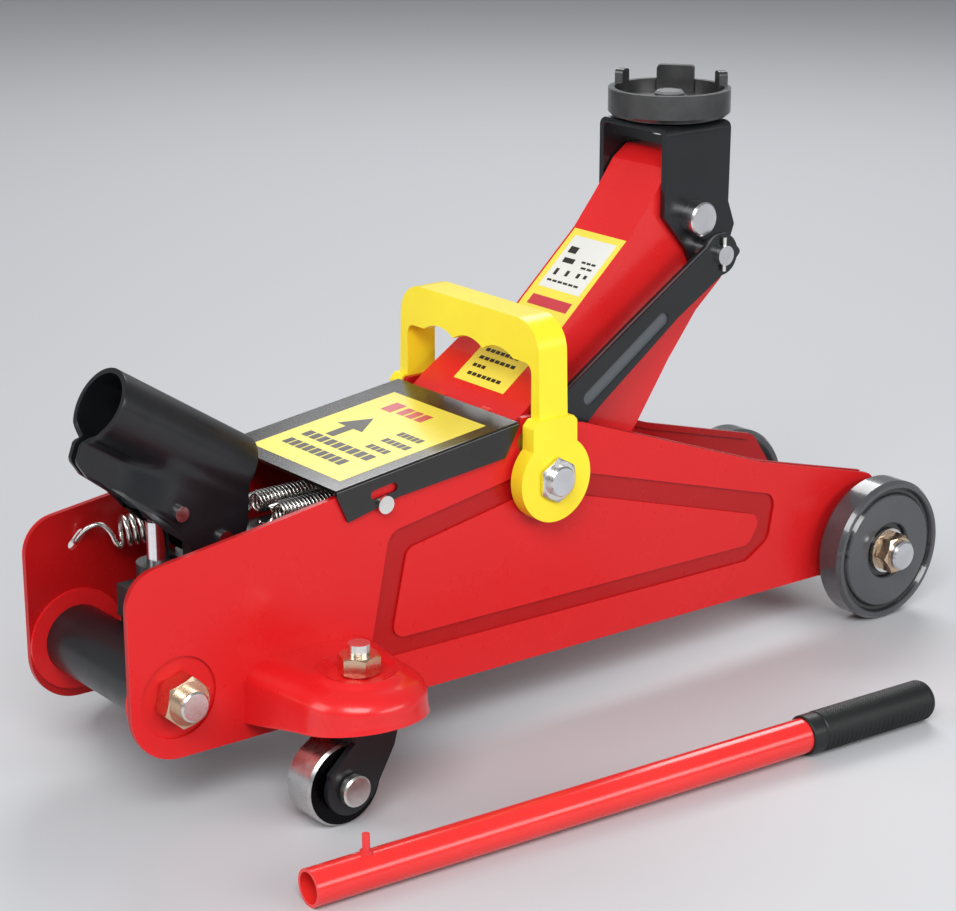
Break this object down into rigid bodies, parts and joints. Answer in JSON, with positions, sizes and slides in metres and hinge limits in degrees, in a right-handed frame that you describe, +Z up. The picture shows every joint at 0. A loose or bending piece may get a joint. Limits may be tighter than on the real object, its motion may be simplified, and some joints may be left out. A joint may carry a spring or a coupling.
{
  "type": "hydraulic_floor_jack",
  "caption": "Small hydraulic trolley jack: raised lift arm with swivel saddle, level links, pump socket, rear casters, carry handle and a loose pump handle on the floor.",
  "frame": {"origin": "on the floor under the jack's centre plane, midway between the rear edge of the side plates and the front of the front wheels", "axes": "+X towards the front wheels, +Y to the jack's left, +Z up; modelled with the arm raised"},
  "size_m": [0.4887, 0.2932, 0.2942],
  "materials": {
    "red_paint": "glossy red enamel",
    "black_paint": "satin black enamel",
    "zinc": "bright zinc plating",
    "steel": "ground bare steel",
    "iron": "oiled dark casting",
    "wheel_black": "gloss black cast wheel",
    "yellow_plastic": "moulded yellow plastic",
    "grip_rubber": "fine knurled black rubber",
    "red_plastic": "moulded red plastic"
  },
  "bodies": {
    "frame": {"right_side_plate": "red_paint", "left_side_plate": "red_paint", "right_caster_ear": "red_paint", "left_caster_ear": "red_paint", "rear_cross_tube": "black_paint", "rear_tie_rod": "zinc", "rear_tie_nuts": "zinc", "front_axle": "steel", "front_spacer_tube": "black_paint", "front_axle_collars": "zinc", "front_axle_washers": "zinc", "front_axle_nuts": "zinc", "arm_pivot_shaft": "steel", "link_pivot_bolts": "steel", "link_pivot_spacers": "zinc", "link_pivot_washers": "zinc", "pump_cover": "black_paint", "cover_screws": "zinc", "pump_base_block": "iron", "reservoir_tube": "black_paint", "ram_cylinder": "iron", "ram_gland_nut": "iron", "filler_plug": "zinc", "caster_bearings": "zinc", "caster_nuts": "zinc", "caster_studs": "zinc", "socket_pivot_pin": "steel", "arm_return_springs": "zinc", "socket_return_spring": "zinc"},
    "arm": {"lift_arm": "red_paint", "arm_pivot_bush": "steel", "spring_anchor_pin": "steel", "bracket_pin": "steel"},
    "links": {"level_link_right": "black_paint", "level_link_left": "black_paint"},
    "bracket": {"saddle_bracket": "black_paint", "link_top_pins": "steel", "link_cotter_pins": "zinc", "saddle_stem": "steel"},
    "saddle": {"saddle_cup": "iron"},
    "ram": {"ram_rod": "steel", "ram_piston": "steel", "ram_crosshead": "iron", "ram_crosshead_pin": "steel"},
    "socket": {"handle_socket": "black_paint", "plunger_roller": "steel"},
    "plunger": {"pump_plunger": "steel"},
    "valve": {"release_valve": "zinc"},
    "wheel_r": {"front_wheel_right": "wheel_black"},
    "wheel_l": {"front_wheel_left": "wheel_black"},
    "fork_r": {"caster_fork_right": "black_paint", "caster_axle_right": "zinc"},
    "fork_l": {"caster_fork_left": "black_paint", "caster_axle_left": "zinc"},
    "caster_r": {"caster_wheel_right": "steel"},
    "caster_l": {"caster_wheel_left": "steel"},
    "carry": {"carry_handle": "yellow_plastic"},
    "pump_handle": {"handle_tube": "red_paint", "handle_grip": "grip_rubber", "handle_lock_button": "red_plastic"}
  },
  "joints": [
    {"name": "arm_lift", "type": "hinge", "parent": "frame", "child": "arm", "pos_m": [-0.025, 0, 0.1385], "axis": [0, -1, 0], "range_deg": [-61, 8], "deforming": ["arm_return_springs"]},
    {"name": "link_swing", "type": "hinge", "parent": "frame", "child": "links", "pos_m": [-0.017, 0, 0.1205], "axis": [0, -1, 0], "range_deg": [-61.5, 8.5]},
    {"name": "bracket_level", "type": "hinge", "parent": "arm", "child": "bracket", "pos_m": [0.097, 0, 0.226], "axis": [0, -1, 0], "range_deg": [-8.5, 61.5]},
    {"name": "saddle_swivel", "type": "hinge", "parent": "bracket", "child": "saddle", "pos_m": [0.1015, 0, 0.28], "axis": [0, 0, 1], "continuous": true},
    {"name": "ram_slide", "type": "slide", "parent": "frame", "child": "ram", "axis": [1, 0, 0], "range_m": [-0.056, 0.0078]},
    {"name": "socket_pump", "type": "hinge", "parent": "frame", "child": "socket", "pos_m": [-0.176, 0, 0.114], "axis": [0, -1, 0], "range_deg": [-5, 28], "deforming": ["socket_return_spring"]},
    {"name": "plunger_slide", "type": "slide", "parent": "frame", "child": "plunger", "axis": [0, 0, 1], "range_m": [-0.013, 0.0024]},
    {"name": "release_turn", "type": "hinge", "parent": "frame", "child": "valve", "pos_m": [-0.2, -0.0215, 0.088], "axis": [1, 0, 0], "range_deg": [-90, 180]},
    {"name": "front_roll_right", "type": "hinge", "parent": "frame", "child": "wheel_r", "pos_m": [0.2057, -0.059, 0.038], "axis": [0, 1, 0], "continuous": true},
    {"name": "front_roll_left", "type": "hinge", "parent": "frame", "child": "wheel_l", "pos_m": [0.2057, 0.059, 0.038], "axis": [0, 1, 0], "continuous": true},
    {"name": "caster_swivel_right", "type": "hinge", "parent": "frame", "child": "fork_r", "pos_m": [-0.152, -0.084, 0.05], "axis": [0, 0, 1], "continuous": true},
    {"name": "caster_roll_right", "type": "hinge", "parent": "fork_r", "child": "caster_r", "pos_m": [-0.1665, -0.084, 0.0195], "axis": [0, 1, 0], "continuous": true},
    {"name": "caster_swivel_left", "type": "hinge", "parent": "frame", "child": "fork_l", "pos_m": [-0.152, 0.084, 0.05], "axis": [0, 0, 1], "continuous": true},
    {"name": "caster_roll_left", "type": "hinge", "parent": "fork_l", "child": "caster_l", "pos_m": [-0.1665, 0.084, 0.0195], "axis": [0, 1, 0], "continuous": true},
    {"name": "carry_fold", "type": "hinge", "parent": "frame", "child": "carry", "pos_m": [-0.017, 0, 0.1205], "axis": [0, -1, 0], "range_deg": [0, 45]},
    {"name": "handle_lift", "type": "slide", "parent": "frame", "child": "pump_handle", "axis": [0, 0, 1], "range_m": [0, 0.35]}
  ],
  "couplings": [
    {"joint": "link_swing", "follows": "arm_lift", "ratio": 1},
    {"joint": "bracket_level", "follows": "arm_lift", "ratio": -1},
    {"joint": "ram_slide", "follows": "arm_lift", "m_per_rad": 0.052},
    {"joint": "plunger_slide", "follows": "socket_pump", "m_per_rad": -0.0257}
  ]
}
